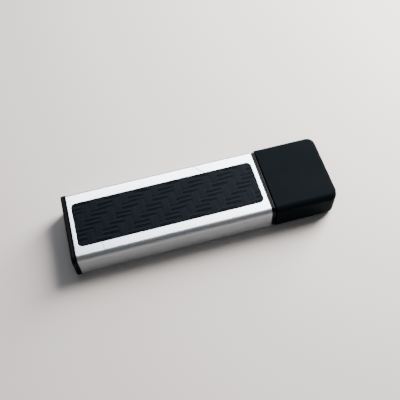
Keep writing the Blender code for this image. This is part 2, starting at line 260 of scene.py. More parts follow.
twillLook = {
    "tow": 1.9,  # mm, one tow of 3K yarn
    "towOrigin": (3.35, -0.75),  # mm, a corner of the weave, from the sleeve's tail end and from its middle
    "relief": 0.035, "gridStep": 0.19,
    "along": "#04070A", "across": "#0D131A", "paintedGlint": "#131A23", "roughness": 0.4, "gloss": 0.023,
    "lineSpan": (0.5, 2.2),  # how strongly the bundles show in the crossways and the lengthways tows
    "crest": (0.45, 0.05),  # where on a bundle its painted glint starts and where it is full
    "fibre": 0.62,  # mm; single fibres are 0.007 mm, drawn as bundles that show
}
inlayShape = {"corner": 1.1, "edge": 0.09}


def weaveHeight(along, across):  # 0 to 1, at a place counted in tows; the same rule as in the material
    i, j = math.floor(along), math.floor(across)
    step = (i - j) % 4
    s, t = along - i, across - j
    if step < 2:
        onTop, side = (step + s) / 2, t
    else:
        onTop, side = (3 - step + t) / 2, s
    return math.sin(math.pi * onTop) ** 0.7 * (1 - 0.45 * (2 * side - 1) ** 2)


def carbonTwillFilm(tailX):
    look = twillLook
    material, tree, shader, place = newMaterial("carbonTwillFilm", look["across"], look["roughness"], 0.0,
                                                1.5,
                                                look["gloss"])
    origin = Vector(((tailX + look["towOrigin"][0]) * mm, look["towOrigin"][1] * mm, 0))
    moved = addNode(tree, "VectorMath", {0: place, 1: origin}, operation="SUBTRACT")
    inTows = addNode(tree, "VectorMath", {0: moved.outputs[0], "Scale": perMetre(look["tow"])},
                     operation="SCALE")
    cell = addNode(tree, "VectorMath", {0: inTows.outputs[0]}, operation="FLOOR")
    cellXY = addNode(tree, "SeparateXYZ", {"Vector": cell.outputs[0]})
    step = addNode(tree, "Math", {0: cellXY.outputs["X"], 1: cellXY.outputs["Y"]}, operation="SUBTRACT")
    wrapped = addNode(tree, "Math", {0: step.outputs[0], 1: 4.0}, operation="FLOORED_MODULO")
    lengthways = addNode(tree, "Math", {0: wrapped.outputs[0], 1: 1.5}, operation="LESS_THAN")
    cloth = addNode(tree, "TexNoise", {"Vector": place, "Scale": perMetre(5.0), "Detail": 2.0})
    fibreScale = perMetre(look["fibre"]) / 2
    warpLines = addNode(tree, "TexWave", {"Vector": place, "Scale": fibreScale / 3.14, "Distortion": 2.5,
                                          "Detail": 2.0, "Detail Scale": 0.6}, bands_direction="Y")
    weftLines = addNode(tree, "TexWave", {"Vector": place, "Scale": fibreScale / 3.14, "Distortion": 2.5,
                                          "Detail": 2.0, "Detail Scale": 0.6}, bands_direction="X")
    lines = addNode(tree, "Mix", {0: lengthways.outputs[0], 2: weftLines.outputs["Fac"],
                                  3: warpLines.outputs["Fac"]})
    lineSpan = addNode(tree, "MapRange", {"Value": lengthways.outputs[0], "To Min": look["lineSpan"][0],
                                           "To Max": look["lineSpan"][1]})
    fromMiddle = addNode(tree, "Math", {0: lines.outputs[0], 1: 0.5}, operation="SUBTRACT")
    lineShade = addNode(tree, "Math", {0: fromMiddle.outputs[0], 1: lineSpan.outputs[0]},
                        operation="MULTIPLY")
    towShade = addNode(tree, "MapRange", {"Value": cloth.outputs["Fac"], "To Min": -0.25, "To Max": 0.25})
    shade = addNode(tree, "Math", {0: lineShade.outputs[0], 1: towShade.outputs[0]}, operation="ADD")
    tone = addNode(tree, "Math", {0: lengthways.outputs[0], 1: shade.outputs[0]}, operation="ADD",
                   use_clamp=True)
    color = addNode(tree, "Mix", {0: tone.outputs[0], 6: linear(look["across"]), 7: linear(look["along"])},
                    data_type="RGBA")
    # painted highlight: the crests of the lengthways bundles get a lighter colour
    crest = addNode(tree, "MapRange", {"Value": lines.outputs[0], "From Min": look["crest"][0],
                                        "From Max": look["crest"][1]})
    lit = addNode(tree, "Math", {0: lengthways.outputs[0], 1: crest.outputs[0]}, operation="MULTIPLY")
    withPaintedGlint = addNode(tree, "Mix", {0: lit.outputs[0], 6: color.outputs[2], 7: linear(look["paintedGlint"])},
                       data_type="RGBA")  # painted highlight: the bundles' crests are drawn lighter, as if they caught the light
    bump = addNode(tree, "Bump", {"Height": lines.outputs[0], "Strength": 0.5, "Distance": 0.012 * mm})
    rough = addNode(tree, "MapRange", {"Value": lengthways.outputs[0], "To Min": look["roughness"],
                                       "To Max": look["roughness"] + 0.1})
    tree.links.new(withPaintedGlint.outputs[2], shader.inputs["Base Color"])
    tree.links.new(rough.outputs[0], shader.inputs["Roughness"])
    tree.links.new(bump.outputs[0], shader.inputs["Normal"])
    return material


def makeInlay():
    look, shape = twillLook, inlayShape
    low, high = nodeBox("inlay")
    tailX = nodeBox("sleeve")[0].x
    middle = (low + high) / 2
    size = high - low
    weave = bmesh.new()
    counts = [math.ceil((size[axis] + 1) / look["gridStep"]) for axis in (0, 1)]
    bmesh.ops.create_grid(weave, x_segments=counts[0], y_segments=counts[1], size=0.5)
    bmesh.ops.scale(weave, vec=(size.x + 1, size.y + 1, 1), verts=weave.verts)
    bmesh.ops.translate(weave, vec=(middle.x, middle.y, 0), verts=weave.verts)
    for vert in weave.verts:
        along = (vert.co.x - tailX - look["towOrigin"][0]) / look["tow"]
        across = (vert.co.y - look["towOrigin"][1]) / look["tow"]
        vert.co.z = high.z - look["relief"] * (1.1 - weaveHeight(along, across))
    base = bmesh.ops.extrude_face_region(weave, geom=weave.faces[:])["geom"]
    for vert in [part for part in base if isinstance(part, bmesh.types.BMVert)]:
        vert.co.z = low.z - 1
    bmesh.ops.recalc_face_normals(weave, faces=weave.faces)
    plate = roundedBox(low, high, alongZ, shape["corner"], 10)
    plate = softened(plate, shape["edge"], 3)
    plate = combined(plate, [weave], "INTERSECT")
    addPiece("inlayPlate", plate, carbonTwillFilm(tailX), "drive", ["inlay"])
    print("inlay done")


# moulded ABS, black: the tail plug has a fine spark-eroded grain, the collar comes from a polished mould

satinLook = {"color": "#080A0A", "dust": "#0E1010", "roughness": 0.33, "gloss": 0.02, "grain": 0.22}
polishedLook = {"color": "#080B0D", "dust": "#0C1013", "roughness": 0.22, "gloss": 0.07, "grain": 0.5}


def mouldedAbs(name, look):
    material, tree, shader, place = newMaterial(name, look["color"], look["roughness"], 0.0, 1.54,
                                                look["gloss"])
    grain = addNode(tree, "TexNoise", {"Vector": place, "Scale": perMetre(look["grain"]), "Detail": 3.0})
    patch = addNode(tree, "TexNoise", {"Vector": place, "Scale": perMetre(6.0), "Detail": 4.0})
    color = addNode(tree, "Mix", {0: patch.outputs["Fac"], 6: linear(look["color"]), 7: linear(look["dust"])},
                    data_type="RGBA")
    rough = addNode(tree, "MapRange", {"Value": patch.outputs["Fac"], "From Min": 0.3, "From Max": 0.7,
                                       "To Min": look["roughness"] - 0.05, "To Max": look["roughness"] + 0.1})
    bump = addNode(tree, "Bump", {"Height": grain.outputs["Fac"], "Strength": 0.2, "Distance": 0.01 * mm})
    tree.links.new(color.outputs[2], shader.inputs["Base Color"])
    tree.links.new(rough.outputs[0], shader.inputs["Roughness"])
    tree.links.new(bump.outputs[0], shader.inputs["Normal"])
    return material


# tail plug: a rim over the tube's end, and a hollow skirt inside it

tailShape = {"corner": 1.5, "edge": 0.35, "rim": 1.25, "skirt": 17.1, "skirtHeight": 5.9, "wall": 1.0,
             "lineWidth": 0.1, "lineDepth": 0.05}


def makeTailPlug():
    shape = tailShape
    low, high = nodeBox("tail_plug")
    middle = (low + high) / 2
    rimEnd = low.x + shape["rim"]
    rim = roundedBox(low, (rimEnd, high.y, high.z), alongX, shape["corner"], 12)
    outer = [edge for edge in rim.edges if all(abs(vert.co.x - low.x) < 0.001 for vert in edge.verts)]
    bmesh.ops.bevel(rim, geom=outer, offset=shape["edge"], segments=5, profile=0.5, affect="EDGES",
                    material=-1)
    lineX = low.x + shape["edge"] + (shape["rim"] - shape["edge"]) / 2
    for step in (-1, 0, 1):  # a fine line runs round the rim
        cut = rim.verts[:] + rim.edges[:] + rim.faces[:]
        place = (lineX + step * shape["lineWidth"], 0, 0)
        bmesh.ops.bisect_plane(rim, geom=cut, plane_co=place, plane_no=(1, 0, 0))
    for vert in rim.verts:
        if abs(vert.co.x - lineX) < 0.001:
            for axis in (1, 2):
                side = vert.co[axis] - middle[axis]
                half = (high[axis] - low[axis]) / 2
                vert.co[axis] -= math.copysign(shape["lineDepth"] * min(1, abs(side) / half), side)
    skirtLow = (rimEnd - 0.2, middle.y - shape["skirt"] / 2, middle.z - shape["skirtHeight"] / 2)
    skirtHigh = (high.x, middle.y + shape["skirt"] / 2, middle.z + shape["skirtHeight"] / 2)
    skirt = roundedBox(skirtLow, skirtHigh, alongX, 0.5, 6)
    hollowLow, hollowHigh = grown(skirtLow, skirtHigh, (-0.25, -shape["wall"], -shape["wall"]))
    hollowHigh.x += 1
    hollow = roundedBox(hollowLow, hollowHigh, alongX, 0.5, 6)
    plug = combined(rim, [skirt], "UNION")
    plug = combined(plug, [hollow], "DIFFERENCE")
    addPiece("tailPlugMoulding", plug, mouldedAbs("satinAbs", satinLook), "drive",
             ["tail_plug"], 32)
    print("tail plug done")


# collar: closes the tube, shows as a narrow land, and carries the cap

collarShape = {
    "insert": (17.1, 5.9), "neck": (18.2, 7.0), "land": (18.7, 7.5), "spigot": (16.6, 5.6),
    "insertEnd": 2.73, "neckEnd": 3.35, "landEnd": 3.65,  # mm from the collar's inner end
    "openingGap": 0.05, "edge": 0.08,
}


def makeCollar():
    shape = collarShape
    low, high = nodeBox("collar")
    middle = (low + high) / 2
    plugLow, plugHigh = nodeBox("plug_shell")
    collar = None
    for key, start, end, corner in (("insert", 0, shape["insertEnd"], 0.5),
                                    ("neck", shape["insertEnd"], shape["neckEnd"], 1.1),
                                    ("land", shape["neckEnd"], shape["landEnd"], 1.2),
                                    ("spigot", shape["landEnd"], high.x - low.x, 0.5)):
        width, height = shape[key]
        overlap = 0.1 if key in ("neck", "spigot") else 0
        stepLow = (low.x + start - overlap, middle.y - width / 2, middle.z - height / 2)
        stepHigh = (low.x + end + (0.1 if key == "neck" else 0), middle.y + width / 2, middle.z + height / 2)
        part = roundedBox(stepLow, stepHigh, alongX, corner, 8)
        collar = part if collar is None else combined(collar, [part], "UNION")
    gap = shape["openingGap"]
    openingLow, openingHigh = grown(plugLow, plugHigh, (3, gap, gap))
    opening = roundedBox(openingLow, openingHigh, alongX, 0.55, 6)
    collar = combined(collar, [opening], "DIFFERENCE")
    collar = softened(collar, shape["edge"], 3)
    addPiece("collarMoulding", collar, mouldedAbs("polishedAbs", polishedLook), "drive",
             ["collar"])
    print("collar done")


# soft-touch paint over moulded plastic: nearly no gloss, faint smears

softTouchLook = {"color": "#090F13", "worn": "#0B1216", "roughness": 0.5, "gloss": 0.012, "grain": 0.15}


def softTouchPaint():
    look = softTouchLook
    material, tree, shader, place = newMaterial("softTouchPaint", look["color"], look["roughness"], 0.0, 1.45,
                                                look["gloss"])
    grain = addNode(tree, "TexNoise", {"Vector": place, "Scale": perMetre(look["grain"]), "Detail": 2.0})
    smear = addNode(tree, "TexNoise", {"Vector": place, "Scale": perMetre(7.0), "Detail": 4.0,
                                       "Distortion": 0.6})
    color = addNode(tree, "Mix", {0: smear.outputs["Fac"], 6: linear(look["color"]), 7: linear(look["worn"])},
                    data_type="RGBA")
    rough = addNode(tree, "MapRange", {"Value": smear.outputs["Fac"], "From Min": 0.3, "From Max": 0.7,
                                       "To Min": look["roughness"] - 0.08,
                                       "To Max": look["roughness"] + 0.06})
    bump = addNode(tree, "Bump", {"Height": grain.outputs["Fac"], "Strength": 0.25, "Distance": 0.01 * mm})
    tree.links.new(color.outputs[2], shader.inputs["Base Color"])
    tree.links.new(rough.outputs[0], shader.inputs["Roughness"])
    tree.links.new(bump.outputs[0], shader.inputs["Normal"])
    return material


# cap

capShape = {"corner": 1.5, "planCorner": 2.0, "endRound": 0.65, "wall": 1.2, "bore": (16.8, 5.8),
            "mouth": 0.12, "steps": 14}


def makeCap():
    shape = capShape
    low, high = nodeBox("cap_shell")
    middle = (low + high) / 2
    half = (high - low) / 2
    plan, end = shape["planCorner"], shape["endRound"]
    cap = roundedBox(low, (high.x - plan, high.y, high.z), alongX, shape["corner"], 12)
    cap.faces.ensure_lookup_table()
    front = max(cap.faces, key=lambda face: face.calc_center_median().x)
    done = Vector((1, 1))
    for step in range(1, shape["steps"] + 1):  # the end face is drawn out and drawn in, step by step
        angle = math.radians(90 * step / shape["steps"])
        fromEnd = plan * (1 - math.sin(angle))
        sideInset = plan * (1 - math.cos(angle))
        topInset = end - math.sqrt(end ** 2 - max(0, end - fromEnd) ** 2)
        wanted = Vector((1 - sideInset / half.y, 1 - topInset / half.z))
        made = bmesh.ops.extrude_discrete_faces(cap, faces=[front])["faces"]
        front = made[0]
        centre = Matrix.Translation(-middle)
        bmesh.ops.scale(cap, vec=(1, wanted[0] / done[0], wanted[1] / done[1]), verts=front.verts,
                        space=centre)
        for vert in front.verts:
            vert.co.x = high.x - fromEnd
        done = wanted
    bmesh.ops.remove_doubles(cap, verts=cap.verts, dist=0.0001)
    width, height = shape["bore"]
    boreLow = (low.x - 1, middle.y - width / 2, middle.z - height / 2)
    boreHigh = (high.x - shape["wall"], middle.y + width / 2, middle.z + height / 2)
    bore = roundedBox(boreLow, boreHigh, alongX, 0.6, 6)
    cap = combined(cap, [bore], "DIFFERENCE")
    cap = softened(cap, shape["mouth"], 3, 60)
    addPiece("capShell", cap, softTouchPaint(), "cap", ["cap_shell"], 50)
    print("cap done")


# deep-drawn steel with a nickel plate: bright, with faint lengthways lines from the tool and from use

steelLook = {"color": "#CFC9BE", "rubbed": "#B5B0A8", "roughness": 0.2, "roughnessSpread": 0.18, "line": 0.12,
             "stretch": 40.0}


def nickelPlatedSteel():
    look = steelLook
    material, tree, shader, place = newMaterial("nickelPlatedSteel", look["color"], look["roughness"], 1.0)
    drawn = addNode(tree, "VectorMath", {0: place, 1: Vector((1 / look["stretch"], 1, 1))},
                    operation="MULTIPLY")
    lines = addNode(tree, "TexNoise", {"Vector": drawn.outputs[0], "Scale": perMetre(look["line"]),
                                       "Detail": 3.0})
    patch = addNode(tree, "TexNoise", {"Vector": place, "Scale": perMetre(3.5), "Detail": 3.0})
    rubbed = addNode(tree, "Math", {0: lines.outputs["Fac"], 1: patch.outputs["Fac"]}, operation="MULTIPLY")
    share = addNode(tree, "MapRange", {"Value": rubbed.outputs[0], "From Min": 0.15, "From Max": 0.4})
    color = addNode(tree, "Mix", {0: share.outputs[0], 6: linear(look["color"]), 7: linear(look["rubbed"])},
                    data_type="RGBA")
    rough = addNode(tree, "MapRange", {"Value": share.outputs[0], "To Min": look["roughness"],
                                       "To Max": look["roughness"] + look["roughnessSpread"]})
    bump = addNode(tree, "Bump", {"Height": lines.outputs["Fac"], "Strength": 0.2, "Distance": 0.008 * mm})
    tree.links.new(color.outputs[2], shader.inputs["Base Color"])
    tree.links.new(rough.outputs[0], shader.inputs["Roughness"])
    tree.links.new(bump.outputs[0], shader.inputs["Normal"])
    return material


# plug shell: one folded sheet, with four square windows and a keyed seam under it

shellShape = {
    "corner": 0.5, "wall": 0.3, "edge": 0.07, "window": (2.0, 2.5), "windowFromTip": 5.2,
    "windowMiddle": 2.25,
    "windowCorner": 0.25, "seamWidth": 0.07, "seamDepth": 0.12,
    "keys": (4.5, 11.5), "keyLength": 1.6, "keyReach": 0.7,  # where the seam steps aside, from the tip
}


def makePlugShell():
    shape = shellShape
    low, high = nodeBox("plug_shell")
    middle = (low + high) / 2
    wall = shape["wall"]
    shell = roundedBox(low, high, alongX, shape["corner"], 8)
    hollow = roundedBox(*grown(low, high, (1, -wall, -wall)), alongX, shape["corner"] - wall, 6)
    cutters = [hollow]
    length, width = shape["window"]
    for side in (-1, 1):
        windowLow = Vector((high.x - shape["windowFromTip"] - length,
                            side * shape["windowMiddle"] - width / 2, low.z - 1))
        windowHigh = Vector((high.x - shape["windowFromTip"], side * shape["windowMiddle"] + width / 2,
                             high.z + 1))
        cutters.append(roundedBox(windowLow, windowHigh, alongZ, shape["windowCorner"], 5))
    shell = combined(shell, cutters, "DIFFERENCE")
    route = [Vector((low.x - 1, 0))]
    for fromTip in sorted(shape["keys"], reverse=True):
        start, end = high.x - fromTip, high.x - fromTip + shape["keyLength"]
        route += [Vector((start, 0)), Vector((start, shape["keyReach"])), Vector((end, shape["keyReach"])),
                  Vector((end, 0))]
    route.append(Vector((high.x + 1, 0)))
    half = shape["seamWidth"] / 2
    seam = []
    for a, b in zip(route, route[1:]):
        seamLow = (min(a.x, b.x) - half, min(a.y, b.y) - half, low.z - 1)
        seamHigh = (max(a.x, b.x) + half, max(a.y, b.y) + half, low.z + shape["seamDepth"])
        seam.append(roundedBox(seamLow, seamHigh, alongZ, half * 0.6, 2))
    shell = softened(shell, shape["edge"], 3)
    shell = combined(shell, [combined(seam[0], seam[1:], "UNION")], "DIFFERENCE")
    addPiece("plugShell", shell, nickelPlatedSteel(), "drive", ["plug_shell"])
    print("plug shell done")


# injection-moulded nylon, natural off-white: satin, a little cloudy, with a soft flow pattern

nylonLook = {"color": "#D9D4C7", "cloudy": "#C9C2B1", "roughness": 0.42, "flow": 2.4, "grain": 0.12}


def mouldedNylon():
    look = nylonLook
    material, tree, shader, place = newMaterial("mouldedNylon", look["color"], look["roughness"], 0.0, 1.53)
    flow = addNode(tree, "TexNoise", {"Vector": place, "Scale": perMetre(look["flow"]), "Detail": 3.0,
                                      "Distortion": 1.2})
    grain = addNode(tree, "TexNoise", {"Vector": place, "Scale": perMetre(look["grain"]), "Detail": 2.0})
    color = addNode(tree, "Mix", {0: flow.outputs["Fac"], 6: linear(look["color"]),
                                  7: linear(look["cloudy"])},
                    data_type="RGBA")
    rough = addNode(tree, "MapRange", {"Value": flow.outputs["Fac"], "To Min": look["roughness"] - 0.08,
                                       "To Max": look["roughness"] + 0.1})
    bump = addNode(tree, "Bump", {"Height": grain.outputs["Fac"], "Strength": 0.2, "Distance": 0.01 * mm})
    tree.links.new(color.outputs[2], shader.inputs["Base Color"])
    tree.links.new(rough.outputs[0], shader.inputs["Roughness"])
    tree.links.new(bump.outputs[0], shader.inputs["Normal"])
    return material


# plug tongue: a block at the back, and a thin plate with a groove for each contact

tongueShape = {"blockEnd": 6.55, "edge": 0.08, "slack": 0.04, "plate": 1.85, "lead": 0.25}
contactNodes = ("contact_vbus", "contact_d_minus", "contact_d_plus", "contact_ground")


def makePlugTongue():
    shape = tongueShape
    low, high = nodeBox("plug_tongue")
    slack = shape["slack"]
    plateTop = low.z + shape["plate"]
    plate = roundedBox(low, (high.x, high.y, plateTop), alongX, shape["edge"], 3)
    front = [edge for edge in plate.edges if all(abs(vert.co.x - high.x) < 0.001 for vert in edge.verts)
             and abs(edge.verts[0].co.z - edge.verts[1].co.z) < 0.001 and edge.calc_length() > 1]
    bmesh.ops.bevel(plate, geom=front, offset=shape["lead"], segments=3, profile=0.5, affect="EDGES",
                    material=-1)
    block = roundedBox(low, (low.x + shape["blockEnd"], high.y, high.z), alongX, shape["edge"], 3)
    tongue = combined(plate, [block], "UNION")
    grooves = []
    for node in contactNodes:
        contactLow, contactHigh = nodeBox(node)
        grooveLow, grooveHigh = grown(contactLow, contactHigh, (slack, slack, slack))
        grooveLow.x = low.x - 1
        grooves.append(roundedBox(grooveLow, grooveHigh, alongX, slack, 2))
    tongue = combined(tongue, grooves, "DIFFERENCE")
    addPiece("plugTongue", tongue, mouldedNylon(), "drive", ["plug_tongue"], 32)
    print("plug tongue done")


# gold over nickel: a warm bright strip, with a duller track where a socket's springs have slid

goldLook = {"color": "#F2D08A", "rubbed": "#D8B878", "roughness": 0.16, "trackRoughness": 0.34, "track": 0.3}


def goldPlate():
    look = goldLook
    material, tree, shader, place = newMaterial("goldPlate", look["color"], look["roughness"], 1.0)
    drawn = addNode(tree, "VectorMath", {0: place, 1: Vector((0.03, 1, 1))}, operation="MULTIPLY")
    lines = addNode(tree, "TexNoise", {"Vector": drawn.outputs[0], "Scale": perMetre(look["track"]),
                                       "Detail": 4.0})
    spots = addNode(tree, "TexNoise", {"Vector": place, "Scale": perMetre(0.8), "Detail": 2.0})
    track = addNode(tree, "MapRange", {"Value": lines.outputs["Fac"], "From Min": 0.5, "From Max": 0.65})
    both = addNode(tree, "Math", {0: track.outputs[0], 1: spots.outputs["Fac"]}, operation="MULTIPLY")
    color = addNode(tree, "Mix", {0: both.outputs[0], 6: linear(look["color"]), 7: linear(look["rubbed"])},
                    data_type="RGBA")
    rough = addNode(tree, "MapRange", {"Value": both.outputs[0], "To Min": look["roughness"],
                                       "To Max": look["trackRoughness"]})
    tree.links.new(color.outputs[2], shader.inputs["Base Color"])
    tree.links.new(rough.outputs[0], shader.inputs["Roughness"])
    return material


# contacts: stamped strips, coined along their edges and dipped at the front

contactShape = {"coined": 0.07, "dip": 0.16, "ramp": 0.5}


def makeContacts():
    shape = contactShape
    gold = goldPlate()
    for node, name in zip(contactNodes, ("contactSupply", "contactDataMinus", "contactDataPlus",
                                         "contactGround")):
        low, high = nodeBox(node)
        strip = roundedBox(low, high, alongX, shape["coined"], 4)
        everything = strip.verts[:] + strip.edges[:] + strip.faces[:]
        bmesh.ops.bisect_plane(strip, geom=everything, plane_co=(high.x - shape["ramp"], 0, 0),
                               plane_no=(1, 0, 0))
        for vert in strip.verts:
            if abs(vert.co.x - high.x) < 0.001 and vert.co.z > low.z + shape["coined"] * 1.5:
                vert.co.z -= shape["dip"] * 0.7
        addPiece(name, strip, gold, "drive", [node])
    print("contacts done")


# glass-filled ABS, grey: a matte moulding for the pieces that don't show, with pale flecks of fibre

carrierLook = {"color": "#5F6062", "fleck": "#8A8A88", "roughness": 0.5, "fleckSize": 0.35, "grain": 0.2}


def glassFilledAbs():
    look = carrierLook
    material, tree, shader, place = newMaterial("glassFilledAbs", look["color"], look["roughness"], 0.0, 1.54)
    fibre = addNode(tree, "TexVoronoi", {"Vector": place, "Scale": perMetre(look["fleckSize"]),
                                         "Randomness": 1.0})
    grain = addNode(tree, "TexNoise", {"Vector": place, "Scale": perMetre(look["grain"]), "Detail": 3.0})
    fleck = addNode(tree, "MapRange", {"Value": fibre.outputs["Distance"], "From Min": 0.1, "From Max": 0.3,
                                       "To Min": 0.6, "To Max": 0.0})
    color = addNode(tree, "Mix", {0: fleck.outputs[0], 6: linear(look["color"]), 7: linear(look["fleck"])},
                    data_type="RGBA")
    rough = addNode(tree, "MapRange", {"Value": grain.outputs["Fac"], "To Min": look["roughness"] - 0.05,
                                       "To Max": look["roughness"] + 0.15})
    bump = addNode(tree, "Bump", {"Height": grain.outputs["Fac"], "Strength": 0.3, "Distance": 0.015 * mm})
    tree.links.new(color.outputs[2], shader.inputs["Base Color"])
    tree.links.new(rough.outputs[0], shader.inputs["Roughness"])
    tree.links.new(bump.outputs[0], shader.inputs["Normal"])
    return material


# cap liner: a tube that fills the cap and grips the plug, its mouth opened out to lead the plug in

linerShape = {"corner": 0.5, "wallSide": 2.2, "wallTop": 0.45, "innerCorner": 0.5, "lead": 0.22, "edge": 0.06}


def makeLiner(plastic):
    shape = linerShape
    low, high = nodeBox("cap_liner")
    liner = roundedBox(low, high, alongX, shape["corner"], 6)
    hollow = roundedBox(*grown(low, high, (1, -shape["wallSide"], -shape["wallTop"])), alongX,
                        shape["innerCorner"], 6)
    liner = combined(liner, [hollow], "DIFFERENCE")
    mouth = []
    for edge in liner.edges:
        places = [vert.co for vert in edge.verts]
        inside = all(abs(co.y) < high.y - shape["wallSide"] + 0.01 and abs(co.z - (low.z + high.z) / 2)
                     < (high.z - low.z) / 2 - shape["wallTop"] + 0.01 for co in places)
        if inside and all(abs(co.x - low.x) < 0.001 for co in places):
            mouth.append(edge)
    bmesh.ops.bevel(liner, geom=mouth, offset=shape["lead"], segments=3, profile=0.5, affect="EDGES",
                    material=-1)
    addPiece("capLiner", liner, plastic, "cap", ["cap_liner"], 35)
    print("liner done")


# the pieces inside keep their CAD shapes: moulded epoxy with tinned leads, solder mask over copper tracks,
# a stamped can, fired ceramic with tinned ends, and a clear adhesive film

insideLook = {
    "epoxy": "#1B1C1E", "epoxySpeck": "#2B2D30", "tin": "#C4C6C8", "tinRoughness": 0.3,
    "mask": "#0E4A2A", "track": "#1C6B3C", "bare": "#C9A45C", "trackPitch": 0.6, "area": 4.2,
    "can": "#C2C0BA", "ceramic": "#A98558", "resistor": "#17181B", "adhesive": "#DCD7C8",
}


def mouldedEpoxy(name, node, leadReach):  # the chip's body by its place; what stands out of it is its leads
    look = insideLook
    low, high = nodeBox(node)
    middle, half = (low + high) / 2, (high - low) / 2
    material, tree, shader, place = newMaterial(name, look["epoxy"], 0.5, 0.0, 1.55)
    split = addNode(tree, "SeparateXYZ", {"Vector": place})
    body = None
    for axis, letter in ((0, "X"), (1, "Y")):
        within = addNode(tree, "Math", {0: split.outputs[letter], 1: middle[axis] * mm,
                                        2: (half[axis] - leadReach[axis] + 0.01) * mm}, operation="COMPARE")
        body = within.outputs[0] if body is None else addNode(
            tree, "Math", {0: body, 1: within.outputs[0]}, operation="MULTIPLY").outputs[0]
    speck = addNode(tree, "TexNoise", {"Vector": place, "Scale": perMetre(0.15), "Detail": 3.0})
    epoxy = addNode(tree, "Mix", {0: speck.outputs["Fac"], 6: linear(look["epoxy"]),
                                  7: linear(look["epoxySpeck"])},
                    data_type="RGBA")
    dot = addNode(tree, "VectorMath", {0: place,
                                       1: Vector((low.x + leadReach[0] + 1.2, high.y - leadReach[1] - 1.2,
                                                            high.z)) * mm}, operation="DISTANCE")
    hollow = addNode(tree, "MapRange", {"Value": dot.outputs["Value"], "From Min": 0.3 * mm,
                                        "From Max": 0.4 * mm,
                                        "To Min": -1.0, "To Max": 0.0})
    rise = addNode(tree, "Math", {0: hollow.outputs[0], 1: speck.outputs["Fac"]}, operation="ADD")
    color = addNode(tree, "Mix", {0: body, 6: linear(look["tin"]), 7: epoxy.outputs[2]}, data_type="RGBA")
    metal = addNode(tree, "Math", {0: 1.0, 1: body}, operation="SUBTRACT")
    rough = addNode(tree, "MapRange", {"Value": body, "To Min": look["tinRoughness"], "To Max": 0.55})
    bump = addNode(tree, "Bump", {"Height": rise.outputs[0], "Strength": 0.4, "Distance": 0.03 * mm})
    tree.links.new(color.outputs[2], shader.inputs["Base Color"])
    tree.links.new(metal.outputs[0], shader.inputs["Metallic"])
    tree.links.new(rough.outputs[0], shader.inputs["Roughness"])
    tree.links.new(bump.outputs[0], shader.inputs["Normal"])
    return material


# tracks run lengthways in some areas and crossways in others, a little raised under the mask
def solderMask():
    look = insideLook
    material, tree, shader, place = newMaterial("solderMask", look["mask"], 0.35, 0.0, 1.5)
    area = addNode(tree, "TexVoronoi", {"Vector": place, "Scale": perMetre(look["area"])},
                   distance="CHEBYCHEV")
    turn = addNode(tree, "SeparateColor", {"Color": area.outputs["Color"]})
    lengthways = addNode(tree, "Math", {0: turn.outputs[0], 1: 0.5}, operation="GREATER_THAN")
    bands = [addNode(tree, "TexWave", {"Vector": place, "Scale": perMetre(look["trackPitch"]) / 3.14 / 2},
                     bands_direction=letter) for letter in ("X", "Y")]
    lines = addNode(tree, "Mix", {0: lengthways.outputs[0], 2: bands[0].outputs["Fac"],
                                  3: bands[1].outputs["Fac"]})
    track = addNode(tree, "MapRange", {"Value": lines.outputs[0], "From Min": 0.55, "From Max": 0.7})
    color = addNode(tree, "Mix", {0: track.outputs[0], 6: linear(look["mask"]), 7: linear(look["track"])},
                    data_type="RGBA")
    vias = addNode(tree, "TexVoronoi", {"Vector": place, "Scale": perMetre(look["area"] / 2)})
    via = addNode(tree, "Math", {0: vias.outputs["Distance"], 1: 0.12}, operation="LESS_THAN")
    withVias = addNode(tree, "Mix", {0: via.outputs[0], 6: color.outputs[2], 7: linear(look["bare"])},
                       data_type="RGBA")
    bump = addNode(tree, "Bump", {"Height": track.outputs[0], "Strength": 0.5, "Distance": 0.03 * mm})
    tree.links.new(withVias.outputs[2], shader.inputs["Base Color"])
    tree.links.new(via.outputs[0], shader.inputs["Metallic"])
    tree.links.new(bump.outputs[0], shader.inputs["Normal"])
    return material


def tinnedEnds(name, color, nodes, roughness):  # small parts, all alike: what lies near either end is tinned
    look = insideLook
    boxes = [nodeBox(node) for node in nodes]
    middles = sorted({round((low.x + high.x) / 2, 3) for low, high in boxes})
    pitch = middles[1] - middles[0]
    half = (boxes[0][1].x - boxes[0][0].x) / 2
    material, tree, shader, place = newMaterial(name, color, roughness, 0.0, 1.6)
    split = addNode(tree, "SeparateXYZ", {"Vector": place})
    away = addNode(tree, "Math", {0: split.outputs["X"], 1: (middles[0] + pitch / 2) * mm,
                                  2: (middles[0] - pitch / 2) * mm}, operation="WRAP")
    body = addNode(tree, "Math", {0: away.outputs[0], 1: middles[0] * mm, 2: half * 0.62 * mm},
                   operation="COMPARE")
    grain = addNode(tree, "TexNoise", {"Vector": place, "Scale": perMetre(0.2), "Detail": 3.0})
    mixed = addNode(tree, "Mix", {0: body.outputs[0], 6: linear(look["tin"]), 7: linear(color)},
                    data_type="RGBA")
    metal = addNode(tree, "Math", {0: 1.0, 1: body.outputs[0]}, operation="SUBTRACT")
    rough = addNode(tree, "MapRange", {"Value": grain.outputs["Fac"], "To Min": roughness - 0.1,
                                       "To Max": roughness + 0.1})
    bump = addNode(tree, "Bump", {"Height": grain.outputs["Fac"], "Strength": 0.2, "Distance": 0.01 * mm})
    tree.links.new(mixed.outputs[2], shader.inputs["Base Color"])
    tree.links.new(metal.outputs[0], shader.inputs["Metallic"])
    tree.links.new(rough.outputs[0], shader.inputs["Roughness"])
    tree.links.new(bump.outputs[0], shader.inputs["Normal"])
    return material


